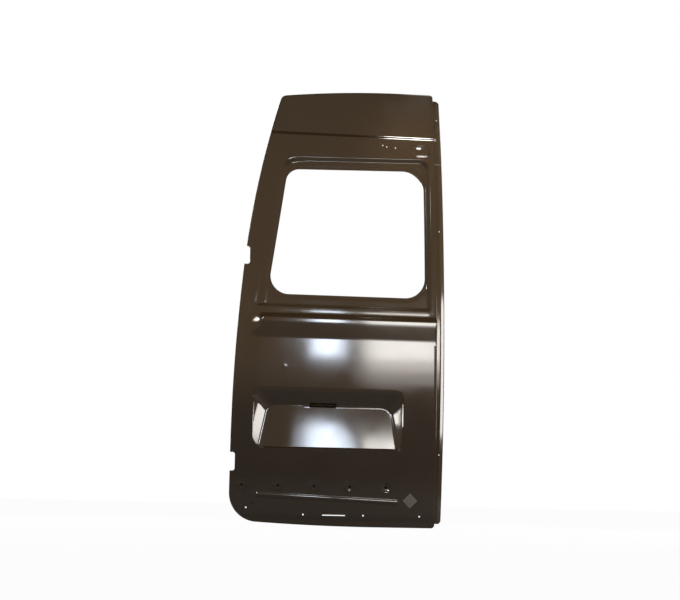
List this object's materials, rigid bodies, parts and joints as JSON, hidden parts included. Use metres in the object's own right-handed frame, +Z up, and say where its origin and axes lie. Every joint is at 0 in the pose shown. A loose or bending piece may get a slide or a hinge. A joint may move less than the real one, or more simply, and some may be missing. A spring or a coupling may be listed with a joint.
{
  "type": "van rear barn door shell",
  "caption": "Bare pressed-steel shell of a van's left-hand rear barn door, with window aperture, number-plate pocket, hinge notches and set-back closing strip.",
  "frame": {"origin": "centre of the lower hinge seat, on the flat outer face of the pan's side wall", "axes": "+X across the door from hinge to closing edge, +Y into the vehicle, +Z up"},
  "size_m": [0.882, 0.2304, 1.836],
  "materials": {
    "primer": "glossy brown-black dip primer",
    "mastic": "matt dark grey mastic"
  },
  "bodies": {
    "root": {"header_skin": "primer", "hinge_stile_skin": "primer", "closing_stile_skin": "primer", "belt_skin": "primer", "hinge_side_skin": "primer", "plate_pocket": "primer", "closing_side_skin": "primer", "lower_band_skin": "primer", "foot_skin": "primer", "header_pan": "primer", "hinge_stile_pan": "primer", "closing_stile_pan": "primer", "waist_pan": "primer", "hinge_side_pan": "primer", "mullion_pan": "primer", "closing_side_pan": "primer", "lower_pan": "primer", "lower_hinge_side_pan": "primer", "lower_hinge_seat_pan": "primer", "hinge_foot_pan": "primer", "lower_closing_side_pan": "primer", "foot_pan": "primer", "closing_strip_upper": "primer", "closing_strip_lower": "primer", "hinge_plate_upper": "primer", "hinge_plate_lower": "primer", "check_strap_plate": "primer", "striker_plate": "primer", "top_bolt_plate": "primer", "bottom_bolt_plate": "primer", "waist_rail": "primer", "header_rail": "primer", "lower_cross_rail": "primer", "belt_stiffener": "primer", "stop_lamp_plate": "primer", "plate_lamp_box": "primer", "plate_nut_left": "primer", "plate_nut_right": "primer", "mastic_pad_1": "mastic", "mastic_pad_2": "mastic", "mastic_pad_3": "mastic", "mastic_pad_4": "mastic"}
  },
  "joints": []
}
